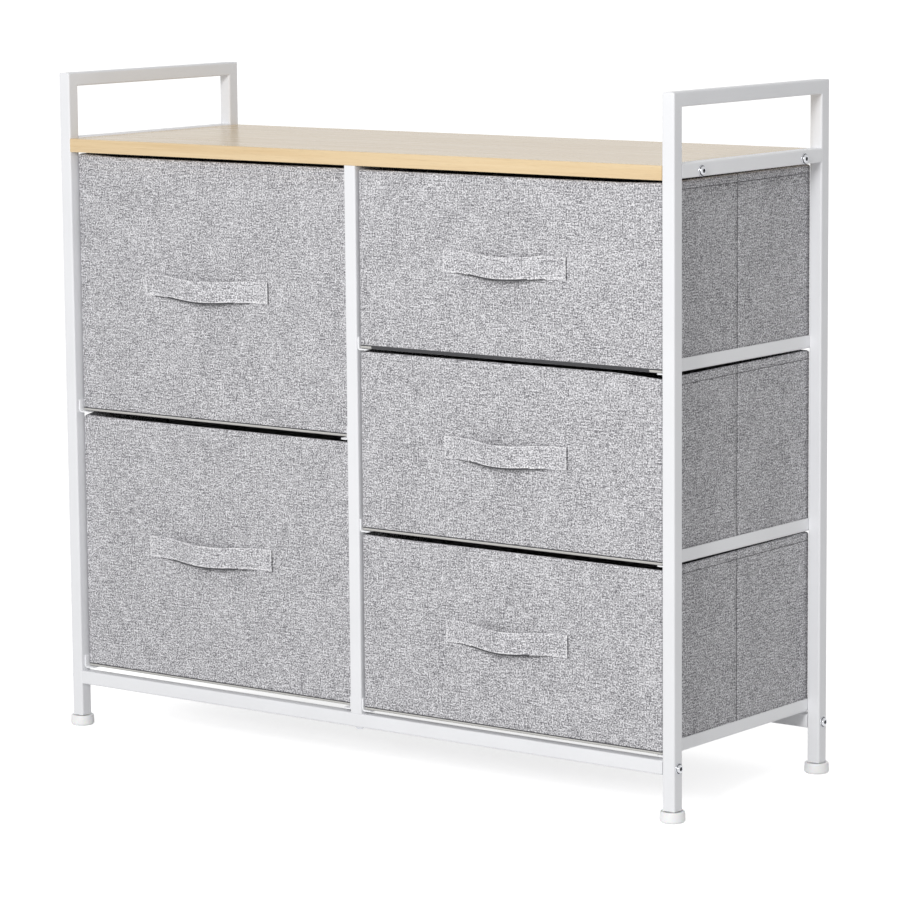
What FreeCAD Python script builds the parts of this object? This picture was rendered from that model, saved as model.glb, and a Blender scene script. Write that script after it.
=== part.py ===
"""Fabric drawer dresser: a white square-tube frame with a wood-grain top board,
two large and three small fabric drawers that slide on L-section slides.

Millimetres.  +X is right seen from the front, +Y is towards the back, +Z is up.
The origin is on the floor, at the centre of the footprint.
"""

import FreeCAD, Part
import math
import os

import Sketcher

SIZES = {
    # overall
    "frame_width": 830,
    "frame_depth": 290,
    "frame_height": 743,
    "handle_rise": 73,
    # square tube
    "tube_size": 15,
    "tube_wall": 1,
    "tube_corner": 1.8,
    # top board
    "board_thickness": 15,
    "edge_band": 1,
    "crossbar_rise": 1.5,
    # bottom rails, measured from the floor to their underside
    "bottom_rail_height": 49,
    # levelling feet and the plugs that they screw into
    "foot_height": 12,
    "foot_diameter": 27,
    "foot_shoulder_diameter": 23,
    "foot_stud_diameter": 6,
    "foot_stud_length": 20,
    "foot_gap": 0.3,
    "plug_flange": 1.2,
    "plug_depth": 16,
    "plug_clearance": 0.1,
    # L-section drawer slides
    "slide_height": 14,
    "slide_width": 11,
    "slide_thickness": 1.5,
    "slide_bend": 1.5,
    "slide_tip_radius": 3,
    "slide_stop_height": 12,
    "side_slide_setback": 5.5,
    "centre_slide_setback": 2,
    "slide_rear_setback": 0.5,
    "lowest_slide_height": 67,
    # drawer bins
    "small_bin_headroom": 2.6,
    "large_bin_headroom": 2.8,
    "small_bin_setback": 3,
    "large_bin_setback": 10,
    "bin_side_gap": 0.8,
    "bin_lift": 0.3,
    "bin_stop_gap": 0.2,
    "bin_corner": 2,
    "fabric_thickness": 1.2,
    "hem_depth": 22,
    "panel_thickness": 2.5,
    "panel_clearance": 0.15,
    "fold_gap": 4,
    "base_board_thickness": 3,
    "base_board_clearance": 1,
    # sewn strap handles
    "strap_height": 24.5,
    "strap_thickness": 1.8,
    "strap_flat": 12,
    "strap_bow": 11,
    "strap_rise": 3.6,
    "small_strap_length": 158,
    "large_strap_length": 177,
    "small_strap_shift": 2,
    "large_strap_shift": 7,
    # button-head bolts and what they screw into
    "bolt_diameter": 6,
    "bolt_length": 30,
    "bolt_head_diameter": 10,
    "bolt_head_height": 3.2,
    "bolt_head_flat": 6.5,
    "bolt_socket_width": 4,
    "bolt_socket_depth": 2,
    "bolt_hole_clearance": 0.25,
    "thread_clearance": 0.1,
    "board_bolt_inset": 49,
    "insert_diameter": 10,
    "insert_length": 18,
}

doc = FreeCAD.newDocument("fabric_drawer_dresser")
sheet = doc.addObject("Spreadsheet::Sheet", "sizes")
for row, (alias, size) in enumerate(SIZES.items(), start=1):
    sheet.set(f"A{row}", alias)
    sheet.set(f"B{row}", str(size))
    sheet.setAlias(f"B{row}", alias)
doc.recompute()

# ---------------------------------------------------------------------------
# Places and lengths, as expressions on the sheet
# ---------------------------------------------------------------------------

HALF_TUBE = "(sizes.tube_size / 2)"
HALF_WIDTH = "(sizes.frame_width / 2)"
HALF_DEPTH = "(sizes.frame_depth / 2)"
INNER_FACE_X = "(sizes.frame_width / 2 - sizes.tube_size)"
SIDE_POST_X = "((sizes.frame_width - sizes.tube_size) / 2)"
POST_Y = "((sizes.frame_depth - sizes.tube_size) / 2)"
DEPTH_BETWEEN_POSTS = "(sizes.frame_depth - 2 * sizes.tube_size)"
WIDTH_BETWEEN_SIDES = "(sizes.frame_width - 2 * sizes.tube_size)"
BAY_WIDTH = "((sizes.frame_width - 3 * sizes.tube_size) / 2)"
BAY_CENTRE_X = f"(({BAY_WIDTH} + sizes.tube_size) / 2)"

PLUG_FLANGE_Z = "(sizes.foot_height + sizes.foot_gap)"
POST_BASE_Z = f"({PLUG_FLANGE_Z} + sizes.plug_flange)"
BOARD_TOP_Z = "(sizes.frame_height - sizes.handle_rise)"
BOARD_UNDERSIDE_Z = f"({BOARD_TOP_Z} - sizes.board_thickness)"
BOARD_MIDDLE_Z = f"({BOARD_TOP_Z} - sizes.board_thickness / 2)"
BOTTOM_RAIL_TOP_Z = "(sizes.bottom_rail_height + sizes.tube_size)"
BOTTOM_RAIL_MIDDLE_Z = f"(sizes.bottom_rail_height + {HALF_TUBE})"
CROSSBAR_TOP_Z = f"({BOARD_TOP_Z} + sizes.crossbar_rise)"

COLUMN_HEIGHT = f"({BOARD_UNDERSIDE_Z} - sizes.lowest_slide_height)"
SMALL_PITCH = f"({COLUMN_HEIGHT} / 3)"
LARGE_PITCH = f"({COLUMN_HEIGHT} / 2)"
BIN_SEAT = "(sizes.slide_thickness + sizes.bin_lift)"
SMALL_BIN_HEIGHT = f"({SMALL_PITCH} - {BIN_SEAT} - sizes.small_bin_headroom)"
LARGE_BIN_HEIGHT = f"({LARGE_PITCH} - {BIN_SEAT} - sizes.large_bin_headroom)"
BIN_WIDTH = f"({BAY_WIDTH} - 2 * (sizes.slide_thickness + sizes.bin_side_gap))"
BIN_REAR_SETBACK = (
    "(sizes.slide_rear_setback + sizes.slide_thickness + sizes.bin_stop_gap)"
)
BIN_DEPTH = f"(sizes.frame_depth - sizes.large_bin_setback - {BIN_REAR_SETBACK})"

BOLT_HOLE = "(sizes.bolt_diameter + 2 * sizes.bolt_hole_clearance)"
THREAD_BORE = "(sizes.bolt_diameter + 2 * sizes.thread_clearance)"

X_AXIS = FreeCAD.Vector(1, 0, 0)
Y_AXIS = FreeCAD.Vector(0, 1, 0)
Z_AXIS = FreeCAD.Vector(0, 0, 1)
UPRIGHT = FreeCAD.Rotation()
HALF_TURN = FreeCAD.Rotation(Z_AXIS, 180)
UPSIDE_DOWN = FreeCAD.Rotation(X_AXIS, 180)
TO_BACK = FreeCAD.Rotation(X_AXIS, -90)
TO_RIGHT = FreeCAD.Rotation(Y_AXIS, 90)
TO_LEFT = FreeCAD.Rotation(Y_AXIS, -90)

nodes = []


# ---------------------------------------------------------------------------
# Helpers
# ---------------------------------------------------------------------------


def value(expression):
    """The number that an expression on the sheet comes to."""
    return float(sheet.evalExpression(expression))


def keep(item):
    """Mark an object as a piece of the dresser that gets a file of its own."""
    nodes.append(item)
    return item


def place(item, x="0", y="0", z="0", rotation=UPRIGHT):
    """Turn an object and bind its position to the sheet."""
    item.Placement = FreeCAD.Placement(FreeCAD.Vector(), rotation)
    for axis, expression in (("x", x), ("y", y), ("z", z)):
        item.setExpression(f"Placement.Base.{axis}", expression)
    return item


def new_body(label):
    body = doc.addObject("PartDesign::Body", label)
    body.Label = label
    return body


def new_sketch(body, name, plane, offset=None):
    """A sketch on one of the body's own origin planes."""
    sketch = body.newObject("Sketcher::SketchObject", f"{body.Name}_{name}")
    planes = {feature.Role: feature for feature in body.Origin.OriginFeatures}
    sketch.AttachmentSupport = (planes[plane], [""])
    sketch.MapMode = "FlatFace"
    if offset:
        sketch.setExpression("AttachmentOffset.Base.z", offset)
    return sketch


def constrain(sketch, kind, arguments, expression):
    """Add one dimension to a sketch and bind it to the sheet."""
    number = sketch.addConstraint(
        Sketcher.Constraint(kind, *arguments, value(expression))
    )
    name = f"{kind}_{number}"
    sketch.renameConstraint(number, name)
    sketch.setExpression(f"Constraints.{name}", expression)


def arc_between(start, end, radius):
    """The short arc of this radius; it bends left if the radius is positive."""
    chord = end - start
    across = FreeCAD.Vector(-chord.y, chord.x, 0).normalize()
    rise = math.sqrt(radius**2 - (chord.Length / 2) ** 2)
    centre = (start + end) / 2 + across * math.copysign(rise, radius)
    first, last = (start, end) if radius > 0 else (end, start)
    begin = math.atan2(first.y - centre.y, first.x - centre.x)
    finish = math.atan2(last.y - centre.y, last.x - centre.x)
    if finish < begin:
        finish += 2 * math.pi
    circle = Part.Circle(centre, Z_AXIS, 1)
    circle.Radius = abs(radius)
    return Part.ArcOfCircle(circle, begin, finish)


def draw(sketch, corners, arcs=None, closed=True):
    """Draw an outline whose corners, and arc radii, are bound to the sheet.

    arcs maps the number of an edge to its radius; the rest are straight.
    """
    arcs = arcs or {}
    first = sketch.GeometryCount
    points = [FreeCAD.Vector(value(x), value(y), 0) for x, y in corners]
    count = len(points) if closed else len(points) - 1
    starts = []
    for edge in range(count):
        start = points[edge]
        end = points[(edge + 1) % len(points)]
        if edge in arcs:
            curve = arc_between(start, end, value(arcs[edge]))
            runs_forward = curve.StartPoint.distanceToPoint(start) < 1e-6
        else:
            curve = Part.LineSegment(start, end)
            runs_forward = True
        sketch.addGeometry(curve, False)
        starts.append(1 if runs_forward else 2)
    for edge in range(count if closed else count - 1):
        after = (edge + 1) % count
        sketch.addConstraint(
            Sketcher.Constraint(
                "Coincident",
                first + edge,
                3 - starts[edge],
                first + after,
                starts[after],
            )
        )
    for number, (x, y) in enumerate(corners):
        edge = min(number, count - 1)
        point = starts[edge] if number < count else 3 - starts[edge]
        constrain(sketch, "DistanceX", (-1, 1, first + edge, point), x)
        constrain(sketch, "DistanceY", (-1, 1, first + edge, point), y)
    for edge, radius in arcs.items():
        constrain(sketch, "Radius", (first + edge,), f"abs({radius})")


def draw_box(sketch, left, bottom, right, top):
    draw(sketch, [(left, bottom), (right, bottom), (right, top), (left, top)])


def draw_circle(sketch, x, y, diameter):
    circle = Part.Circle(FreeCAD.Vector(value(x), value(y), 0), Z_AXIS, 1)
    circle.Radius = value(diameter) / 2
    number = sketch.addGeometry(circle, False)
    constrain(sketch, "DistanceX", (-1, 1, number, 3), x)
    constrain(sketch, "DistanceY", (-1, 1, number, 3), y)
    constrain(sketch, "Diameter", (number,), diameter)


def add_pad(body, sketch, length, backwards=False):
    pad = body.newObject("PartDesign::Pad", f"{sketch.Name}_pad")
    pad.Profile = sketch
    pad.Reversed = backwards
    pad.setExpression("Length", length)
    doc.recompute()
    return pad


def cut_through(body, sketch):
    """Cut a sketch right through the body, both ways."""
    pocket = body.newObject("PartDesign::Pocket", f"{sketch.Name}_cut")
    pocket.Profile = sketch
    pocket.SideType = "Symmetric"
    pocket.Type = "ThroughAll"
    doc.recompute()
    return pocket


def cut_deep(body, sketch, depth, backwards=False):
    """Cut a sketch a set depth into the body."""
    pocket = body.newObject("PartDesign::Pocket", f"{sketch.Name}_cut")
    pocket.Profile = sketch
    pocket.Reversed = backwards
    pocket.setExpression("Length", depth)
    doc.recompute()
    return pocket


def round_edges(body, feature, name, radius, wanted):
    """Fillet the edges of a feature that a test picks."""
    edges = [
        f"Edge{number}"
        for number, edge in enumerate(feature.Shape.Edges, start=1)
        if wanted(edge)
    ]
    fillet = body.newObject("PartDesign::Fillet", f"{body.Name}_{name}")
    fillet.Base = (feature, edges)
    fillet.setExpression("Radius", radius)
    doc.recompute()
    return fillet


def runs_along(edge, axis):
    """True for a straight edge that is parallel to an axis."""
    if not isinstance(edge.Curve, Part.Line):
        return False
    return abs(abs(edge.Curve.Direction.dot(axis)) - 1) < 1e-6


def group(label, members):
    """Several separate solids that share one node."""
    compound = doc.addObject("Part::Compound", label)
    compound.Label = label
    compound.Links = members
    return compound


def mirrored(item, normal):
    """The same object on the other side of the dresser's middle plane."""
    suffix = "right_left" if normal == X_AXIS else "front_back"
    mirror = doc.addObject("Part::Mirroring", f"{item.Name}_{suffix}")
    mirror.Source = item
    mirror.Normal = normal
    return mirror


def on_both_sides(item, normal):
    return [item, mirrored(item, normal)]


def at_four_corners(item):
    pair = on_both_sides(item, Y_AXIS)
    return pair + [mirrored(member, X_AXIS) for member in pair]


# ---------------------------------------------------------------------------
# Frame
# ---------------------------------------------------------------------------


def square_tube(label, length):
    """A square tube along its own +Z, centred on its axis."""
    body = new_body(label)
    section = new_sketch(body, "section", "XY_Plane")
    inner = f"({HALF_TUBE} - sizes.tube_wall)"
    for half in (HALF_TUBE, inner):
        draw_box(section, f"-{half}", f"-{half}", half, half)
    tube = add_pad(body, section, length)
    outside = value(HALF_TUBE) - 1e-3

    def is_outer_corner(edge):
        return runs_along(edge, Z_AXIS) and abs(edge.CenterOfMass.x) > outside

    round_edges(body, tube, "corners", "sizes.tube_corner", is_outer_corner)
    return body


def mitre(body, name, long_end, short_end):
    """Cut the tube's +Y side back by the tube's own size, at 45 degrees."""
    sketch = new_sketch(body, name, "YZ_Plane")
    corners = [
        (f"-{HALF_TUBE}", long_end),
        (HALF_TUBE, long_end),
        (HALF_TUBE, short_end),
    ]
    draw(sketch, corners)
    cut_through(body, sketch)


def bolt_holes(body, places, off_centre="0"):
    """Holes from side to side through a tube, at these distances along it."""
    sketch = new_sketch(body, "bolt_holes", "YZ_Plane")
    for along in places:
        draw_circle(sketch, off_centre, along, BOLT_HOLE)
    cut_through(body, sketch)


def side_frame(side, sign):
    """Two posts, the handle bar over them and the crossbar beside the board."""
    post_length = f"(sizes.frame_height - {POST_BASE_Z})"
    bolt_place = f"({BOTTOM_RAIL_MIDDLE_Z} - {POST_BASE_Z})"
    x = f"{sign} * {SIDE_POST_X}"
    for end, y, rotation in (
        ("front", f"-{POST_Y}", UPRIGHT),
        ("rear", POST_Y, HALF_TURN),
    ):
        post = square_tube(f"{side}_{end}_post", post_length)
        mitre(post, "top", post_length, f"({post_length} - sizes.tube_size)")
        bolt_holes(post, [bolt_place])
        keep(place(post, x, y, POST_BASE_Z, rotation))

    bar = square_tube(f"{side}_handle_bar", "sizes.frame_depth")
    mitre(bar, "front", "0", "sizes.tube_size")
    mitre(bar, "rear", "sizes.frame_depth", f"(sizes.frame_depth - sizes.tube_size)")
    bar_z = f"sizes.frame_height - {HALF_TUBE}"
    keep(place(bar, x, f"-{HALF_DEPTH}", bar_z, TO_BACK))

    crossbar = square_tube(f"{side}_crossbar", DEPTH_BETWEEN_POSTS)
    front = "(sizes.board_bolt_inset - sizes.tube_size)"
    rear = f"({DEPTH_BETWEEN_POSTS} - {front})"
    drop = f"({CROSSBAR_TOP_Z} - {HALF_TUBE} - {BOARD_MIDDLE_Z})"
    bolt_holes(crossbar, [front, rear], drop)
    crossbar_z = f"{CROSSBAR_TOP_Z} - {HALF_TUBE}"
    keep(place(crossbar, x, f"{HALF_TUBE} - {POST_Y}", crossbar_z, TO_BACK))


def slide(label, x, z, setback, faces_right):
    """An L-section drawer slide with a stop bent up at its rear end."""
    length = f"(sizes.frame_depth - {setback} - sizes.slide_rear_setback)"
    thick = "sizes.slide_thickness"
    width = "sizes.slide_width"
    body = new_body(label)
    section = new_sketch(body, "section", "XZ_Plane")
    corners = [
        ("0", "0"),
        (width, "0"),
        (width, thick),
        (thick, thick),
        (thick, "sizes.slide_height"),
        ("0", "sizes.slide_height"),
    ]
    draw(section, corners)
    angle = add_pad(body, section, length, backwards=True)
    depth = value(length)
    metal = value(thick)
    wide = value(width)
    tip_y = 0 if faces_right else depth

    def at(edge, x_place, z_place):
        middle = edge.CenterOfMass
        near = abs(middle.x - x_place) < 1e-3 and abs(middle.z - z_place) < 1e-3
        return near and runs_along(edge, Y_AXIS)

    inner = round_edges(
        body, angle, "inner_bend", "sizes.slide_bend", lambda edge: at(edge, metal, metal)
    )
    outer_radius = "(sizes.slide_bend + sizes.slide_thickness)"
    outer = round_edges(
        body, inner, "outer_bend", outer_radius, lambda edge: at(edge, 0, 0)
    )

    def is_tip(edge):
        middle = edge.CenterOfMass
        at_tip = abs(middle.y - tip_y) < 1e-3 and abs(middle.x - wide) < 1e-3
        return runs_along(edge, Z_AXIS) and at_tip

    round_edges(body, outer, "tip", "sizes.slide_tip_radius", is_tip)

    stop = new_sketch(body, "stop", "XY_Plane")
    inside = "(sizes.slide_thickness + sizes.slide_bend)"
    if faces_right:
        draw_box(stop, inside, f"({length} - {thick})", width, length)
        place(body, x, f"{setback} - {HALF_DEPTH}", z)
    else:
        draw_box(stop, inside, "0", width, thick)
        place(body, x, f"{HALF_DEPTH} - sizes.slide_rear_setback", z, HALF_TURN)
    add_pad(body, stop, "sizes.slide_stop_height")
    return keep(body)


def slide_height(step, pitch):
    return f"sizes.lowest_slide_height + {step} * {pitch}"


def column_slides(left_name, right_name, left_x, right_x, levels, pitch, setbacks):
    """The pair of slides under each drawer of one column."""
    for step, level in enumerate(levels):
        z = slide_height(step, pitch)
        slide(f"{left_name}_slide_{level}", left_x, z, setbacks[0], True)
        slide(f"{right_name}_slide_{level}", right_x, z, setbacks[1], False)


def centre_frame():
    """Two posts on the bottom rails and a bar under the board between them."""
    height = f"({BOARD_UNDERSIDE_Z} - {BOTTOM_RAIL_TOP_Z})"
    for end, y in (("front", f"-{POST_Y}"), ("rear", POST_Y)):
        post = square_tube(f"centre_{end}_post", height)
        keep(place(post, "0", y, BOTTOM_RAIL_TOP_Z))
    bar = square_tube("centre_top_bar", DEPTH_BETWEEN_POSTS)
    bar_z = f"{BOARD_UNDERSIDE_Z} - {HALF_TUBE}"
    keep(place(bar, "0", f"{HALF_TUBE} - {POST_Y}", bar_z, TO_BACK))


def bottom_rail(end, y):
    rail = square_tube(f"bottom_{end}_rail", WIDTH_BETWEEN_SIDES)
    bolt_holes(rail, [f"({WIDTH_BETWEEN_SIDES} / 2)"])
    keep(place(rail, f"-{INNER_FACE_X}", y, BOTTOM_RAIL_MIDDLE_Z, TO_RIGHT))


# ---------------------------------------------------------------------------
# Top board
# ---------------------------------------------------------------------------

CORE_WIDTH = f"({WIDTH_BETWEEN_SIDES} - 2 * sizes.edge_band)"
CORE_DEPTH = "(sizes.frame_depth - 2 * sizes.edge_band)"
BOLT_Y = f"({HALF_DEPTH} - sizes.board_bolt_inset)"
INSERT_BORE = "(sizes.insert_diameter + 2 * sizes.plug_clearance)"


def top_board():
    """The board's core, bored at both ends for the threaded inserts."""
    board = new_body("top_board")
    half_width = f"({CORE_WIDTH} / 2)"
    half_depth = f"({CORE_DEPTH} / 2)"
    plan = new_sketch(board, "plan", "XY_Plane")
    draw_box(plan, f"-{half_width}", f"-{half_depth}", half_width, half_depth)
    add_pad(board, plan, "sizes.board_thickness")
    depth = "(sizes.insert_length - sizes.edge_band)"
    for side, offset, backwards in (
        ("left", f"-{half_width}", True),
        ("right", half_width, False),
    ):
        bores = new_sketch(board, f"{side}_bores", "YZ_Plane", offset)
        for y in (f"-{BOLT_Y}", BOLT_Y):
            draw_circle(bores, y, "sizes.board_thickness / 2", INSERT_BORE)
        cut_deep(board, bores, depth, backwards)
    keep(place(board, z=BOARD_UNDERSIDE_Z))


def edge_bands():
    """Thin bands glued round the board's four edges."""
    long_band = doc.addObject("Part::Box", "front_edge_band")
    long_band.setExpression("Length", WIDTH_BETWEEN_SIDES)
    long_band.setExpression("Width", "sizes.edge_band")
    long_band.setExpression("Height", "sizes.board_thickness")
    place(long_band, f"-{INNER_FACE_X}", f"-{HALF_DEPTH}", BOARD_UNDERSIDE_Z)

    side_band = new_body("right_edge_band")
    half = f"({CORE_DEPTH} / 2)"
    outline = new_sketch(side_band, "outline", "YZ_Plane")
    draw_box(outline, f"-{half}", "0", half, "sizes.board_thickness")
    for y in (f"-{BOLT_Y}", BOLT_Y):
        draw_circle(outline, y, "sizes.board_thickness / 2", INSERT_BORE)
    add_pad(side_band, outline, "sizes.edge_band")
    place(side_band, f"{CORE_WIDTH} / 2", "0", BOARD_UNDERSIDE_Z)

    strips = on_both_sides(long_band, Y_AXIS) + on_both_sides(side_band, X_AXIS)
    keep(group("top_board_edge_bands", strips))


# ---------------------------------------------------------------------------
# Fasteners, plugs and feet
# ---------------------------------------------------------------------------


def button_bolt(name):
    """A button-head bolt along +Z; its head's underside is at z = 0."""
    body = new_body(name)
    head = "(sizes.bolt_head_diameter / 2)"
    flat = "(sizes.bolt_head_flat / 2)"
    shank = "(sizes.bolt_diameter / 2)"
    crown = "(-sizes.bolt_head_height)"
    profile = new_sketch(body, "profile", "XZ_Plane")
    corners = [
        ("0", crown),
        (flat, crown),
        (head, "0"),
        (shank, "0"),
        (shank, "sizes.bolt_length"),
        ("0", "sizes.bolt_length"),
    ]
    draw(profile, corners)
    revolve(body, profile)
    socket = new_sketch(body, "socket", "XY_Plane", crown)
    draw_hexagon(socket, "sizes.bolt_socket_width")
    cut_deep(body, socket, "sizes.bolt_socket_depth", backwards=True)
    return body


def revolve(body, profile):
    turned = body.newObject("PartDesign::Revolution", f"{body.Name}_turned")
    turned.Profile = profile
    turned.ReferenceAxis = (profile, ["V_Axis"])
    turned.Angle = 360
    doc.recompute()
    return turned


def draw_hexagon(sketch, width):
    """A hexagon of this width across its flats, centred on the origin."""
    half_flat = f"({width} / 2)"
    point = f"({width} / sqrt(3))"
    corners = [
        (point, "0"),
        (f"{point} / 2", half_flat),
        (f"-{point} / 2", half_flat),
        (f"-{point}", "0"),
        (f"-{point} / 2", f"-{half_flat}"),
        (f"{point} / 2", f"-{half_flat}"),
    ]
    draw(sketch, corners)


def tube_plug(name, with_flange):
    """A threaded plug in a tube's end, along +Z from the end of the tube."""
    body = new_body(name)
    half = f"({HALF_TUBE} - sizes.tube_wall - sizes.plug_clearance)"
    shank = new_sketch(body, "shank", "XY_Plane")
    draw_box(shank, f"-{half}", f"-{half}", half, half)
    draw_circle(shank, "0", "0", THREAD_BORE)
    add_pad(body, shank, "sizes.plug_depth")
    if with_flange:
        flange = new_sketch(body, "flange", "XY_Plane")
        draw_box(flange, f"-{HALF_TUBE}", f"-{HALF_TUBE}", HALF_TUBE, HALF_TUBE)
        draw_circle(flange, "0", "0", THREAD_BORE)
        add_pad(body, flange, "sizes.plug_flange", backwards=True)
    return body


def threaded_insert(name):
    """A threaded sleeve in the board's edge, along +Z from the edge."""
    body = new_body(name)
    ring = new_sketch(body, "ring", "XY_Plane")
    draw_circle(ring, "0", "0", "sizes.insert_diameter")
    draw_circle(ring, "0", "0", THREAD_BORE)
    add_pad(body, ring, "sizes.insert_length")
    return body


def fasteners():
    """The bolts and what they screw into, each kind as one group."""
    board_bolt = button_bolt("board_bolt")
    place(board_bolt, HALF_WIDTH, f"-{BOLT_Y}", BOARD_MIDDLE_Z, TO_LEFT)
    keep(group("board_bolts", at_four_corners(board_bolt)))

    insert = threaded_insert("board_insert")
    place(insert, INNER_FACE_X, f"-{BOLT_Y}", BOARD_MIDDLE_Z, TO_LEFT)
    keep(group("board_inserts", at_four_corners(insert)))

    rail_bolt = button_bolt("rail_bolt")
    place(rail_bolt, HALF_WIDTH, f"-{POST_Y}", BOTTOM_RAIL_MIDDLE_Z, TO_LEFT)
    keep(group("rail_bolts", at_four_corners(rail_bolt)))

    rail_plug = tube_plug("rail_plug", with_flange=False)
    place(rail_plug, INNER_FACE_X, f"-{POST_Y}", BOTTOM_RAIL_MIDDLE_Z, TO_LEFT)
    keep(group("rail_end_plugs", at_four_corners(rail_plug)))

    centre_bolt = button_bolt("centre_bolt")
    place(centre_bolt, "0", f"-{POST_Y}", "sizes.bottom_rail_height")
    keep(group("centre_post_bolts", on_both_sides(centre_bolt, Y_AXIS)))

    centre_plug = tube_plug("centre_plug", with_flange=False)
    place(centre_plug, "0", f"-{POST_Y}", BOTTOM_RAIL_TOP_Z)
    keep(group("centre_post_plugs", on_both_sides(centre_plug, Y_AXIS)))

    post_plug = tube_plug("post_plug", with_flange=True)
    place(post_plug, SIDE_POST_X, f"-{POST_Y}", POST_BASE_Z)
    keep(group("post_end_plugs", at_four_corners(post_plug)))


def levelling_foot(label, x, y):
    """A flared round foot with its screw, made by turning its profile."""
    body = new_body(label)
    base = "(sizes.foot_diameter / 2)"
    shoulder = "(sizes.foot_shoulder_diameter / 2)"
    stud = "(sizes.foot_stud_diameter / 2)"
    top = "sizes.foot_height"
    profile = new_sketch(body, "profile", "XZ_Plane")
    corners = [
        ("0", "0"),
        (base, "0"),
        (shoulder, top),
        (stud, top),
        (stud, f"{top} + sizes.foot_stud_length"),
        ("0", f"{top} + sizes.foot_stud_length"),
    ]
    draw(profile, corners)
    revolve(body, profile)
    keep(place(body, x, y))


# ---------------------------------------------------------------------------
# Drawers
# ---------------------------------------------------------------------------


def bin_shell(label, height):
    """The sewn fabric bin: four walls, a floor and a hem turned in at the rim.

    The hem comes down inside and leaves a slot that holds the wall panels.
    """
    body = new_body(label)
    cloth = "sizes.fabric_thickness"
    half = f"({BIN_WIDTH} / 2)"
    slot = f"({cloth} + sizes.panel_thickness + 2 * sizes.panel_clearance)"
    floor_plan = new_sketch(body, "plan", "XY_Plane")
    draw_box(floor_plan, f"-{half}", "0", half, BIN_DEPTH)
    block = add_pad(body, floor_plan, height)
    tall = value(height)

    def is_upright(edge):
        return runs_along(edge, Z_AXIS) and edge.Length > tall / 2

    round_edges(body, block, "corners", "sizes.bin_corner", is_upright)

    def rectangle(sketch, inset):
        left = f"({inset} - {half})"
        right = f"({half} - {inset})"
        draw_box(sketch, left, inset, right, f"({BIN_DEPTH} - {inset})")

    cavity = new_sketch(body, "cavity", "XY_Plane", cloth)
    rectangle(cavity, cloth)
    cut_deep(body, cavity, height, backwards=True)

    rim = new_sketch(body, "rim", "XY_Plane", height)
    rectangle(rim, f"({cloth} / 2)")
    rectangle(rim, f"({slot} + {cloth})")
    add_pad(body, rim, cloth, backwards=True)

    hem = new_sketch(body, "hem", "XY_Plane", height)
    rectangle(hem, slot)
    rectangle(hem, f"({slot} + {cloth})")
    add_pad(body, hem, "sizes.hem_depth", backwards=True)
    return body


def board_piece(name, length, width, height, x, y, z):
    """A plain cut board, placed from the bin's front, left, bottom corner."""
    box = doc.addObject("Part::Box", name)
    box.setExpression("Length", length)
    box.setExpression("Width", width)
    box.setExpression("Height", height)
    return place(box, x, y, z)


def wall_panels(label, height, x, y, z):
    """Stiff boards in the walls; each side is in two halves that fold."""
    cloth = "sizes.fabric_thickness"
    thick = "sizes.panel_thickness"
    gap = "sizes.panel_clearance"
    inset = f"({cloth} + {gap})"
    tall = f"({height} - 2 * {inset})"
    wide = f"({BIN_WIDTH} - 2 * {inset})"
    side_span = f"({BIN_DEPTH} - 2 * ({inset} + {thick} + {gap}))"
    half_span = f"(({side_span} - sizes.fold_gap) / 2)"
    left = f"{x} - {BIN_WIDTH} / 2 + {inset}"
    right = f"{x} + {BIN_WIDTH} / 2 - {inset} - {thick}"
    low = f"{z} + {inset}"
    front = f"{y} + {inset}"
    rear = f"{y} + {BIN_DEPTH} - {inset} - {thick}"
    near = f"{y} + {inset} + {thick} + {gap}"
    far = f"{near} + {half_span} + sizes.fold_gap"
    panels = [
        board_piece(f"{label}_front", wide, thick, tall, left, front, low),
        board_piece(f"{label}_rear", wide, thick, tall, left, rear, low),
    ]
    for side, side_x in (("left", left), ("right", right)):
        for end, end_y in (("near", near), ("far", far)):
            name = f"{label}_{side}_{end}"
            panels.append(
                board_piece(name, thick, half_span, tall, side_x, end_y, low)
            )
    return group(label, panels)


def base_board(label, x, y, z):
    """The loose stiff board that lies on the bin's floor."""
    cloth = "sizes.fabric_thickness"
    wall = f"({cloth} + sizes.panel_thickness + 2 * sizes.panel_clearance)"
    inset = f"({wall} + sizes.base_board_clearance)"
    wide = f"({BIN_WIDTH} - 2 * {inset})"
    deep = f"({BIN_DEPTH} - 2 * {inset})"
    left = f"{x} - {wide} / 2"
    low = f"{z} + {cloth}"
    thick = "sizes.base_board_thickness"
    box = board_piece(label, wide, deep, thick, left, f"{y} + {inset}", low)
    box.Label = label
    return box


def strap_handle(label, length):
    """A strap sewn flat at both ends, swept along a line that bows out."""
    body = new_body(label)
    flat = "sizes.strap_flat"
    bow = "sizes.strap_bow"
    half_span = f"({length} / 2 - {flat})"
    radius = f"(({half_span} ^ 2 + {bow} ^ 2) / (4 * {bow}))"
    line = new_sketch(body, "line", "XY_Plane")
    points = [
        ("0", "0"),
        (flat, "0"),
        (f"{flat} + {half_span} / 2", f"-{bow} / 2"),
        (f"{length} - {flat} - {half_span} / 2", f"-{bow} / 2"),
        (f"{length} - {flat}", "0"),
        (length, "0"),
    ]
    arcs = {1: f"(-{radius})", 2: radius, 3: f"(-{radius})"}
    draw(line, points, arcs=arcs, closed=False)
    section = new_sketch(body, "section", "YZ_Plane")
    thin = "(sizes.strap_thickness / 2)"
    tall = "(sizes.strap_height / 2)"
    draw_box(section, f"-{thin}", f"-{tall}", thin, tall)
    sweep = body.newObject("PartDesign::AdditivePipe", f"{label}_sweep")
    sweep.Profile = section
    sweep.Spine = line
    doc.recompute()
    return body


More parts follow.
